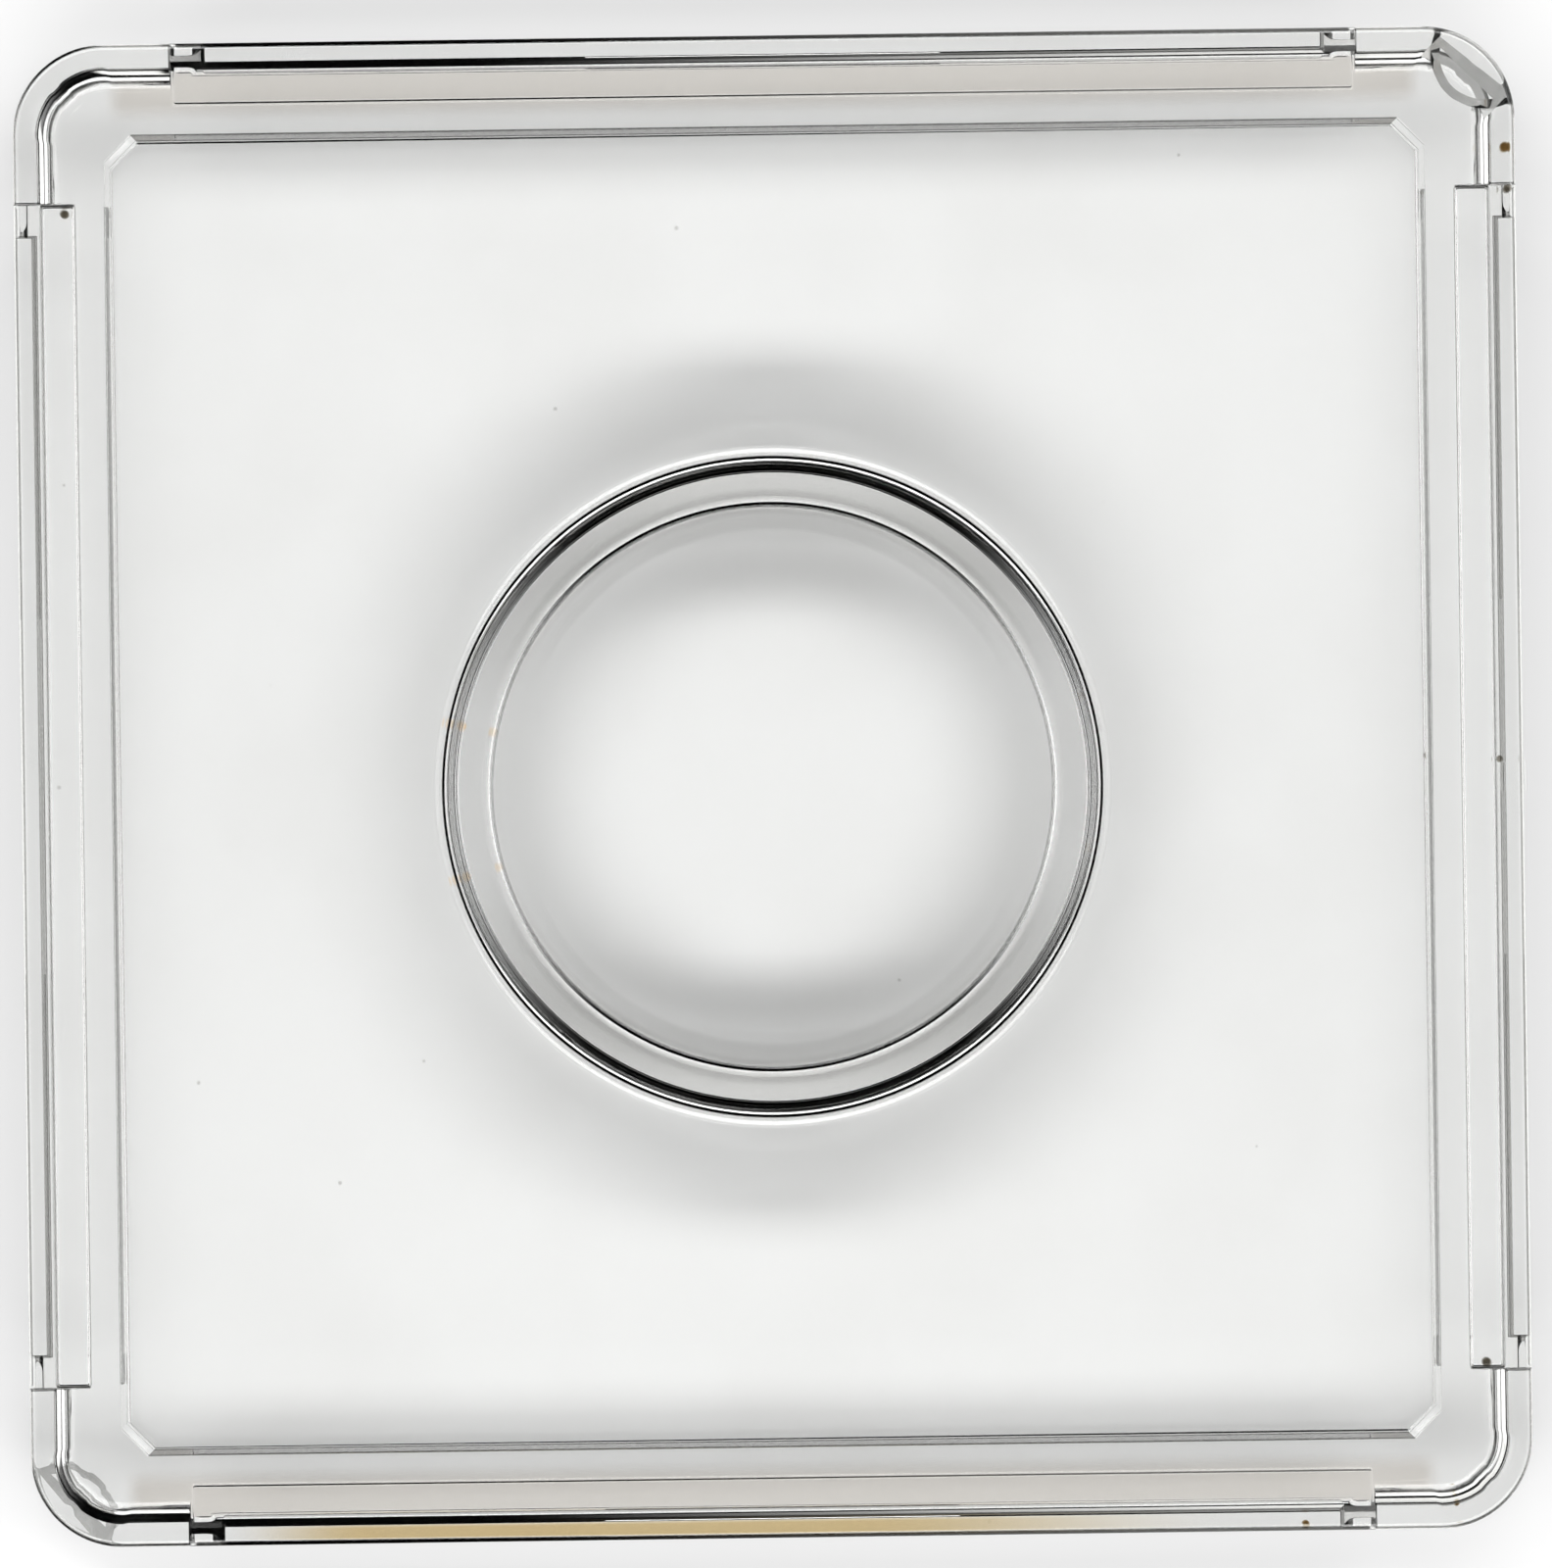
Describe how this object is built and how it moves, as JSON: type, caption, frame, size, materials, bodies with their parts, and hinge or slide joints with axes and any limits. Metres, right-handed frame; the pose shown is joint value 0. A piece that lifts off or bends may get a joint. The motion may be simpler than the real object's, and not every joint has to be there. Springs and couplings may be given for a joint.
{
  "type": "snap-lock coin holder",
  "caption": "Clear square holder for a small coin: moulded halves that snap together round a central ringed well, with side tabs, rails and pry notches at the corners.",
  "frame": {"origin": "middle of the holder's square outline, on the surface that its rear face lies on", "axes": "+Z is the thickness, from the rear face to the front face; +X is right and +Y is up as seen from the front"},
  "size_m": [0.0509, 0.0508, 0.0048],
  "materials": {
    "rear_clear_styrene": "clear gloss moulding",
    "front_clear_styrene": "clear gloss moulding"
  },
  "bodies": {
    "rear": {"rear_tray": "rear_clear_styrene", "rear_coin_ring": "rear_clear_styrene"},
    "front": {"front_tray": "front_clear_styrene", "front_coin_ring": "front_clear_styrene"}
  },
  "joints": [
    {"name": "front_lift", "type": "slide", "parent": "rear", "child": "front", "axis": [0, 0, 1], "range_m": [0, 0.012]}
  ]
}
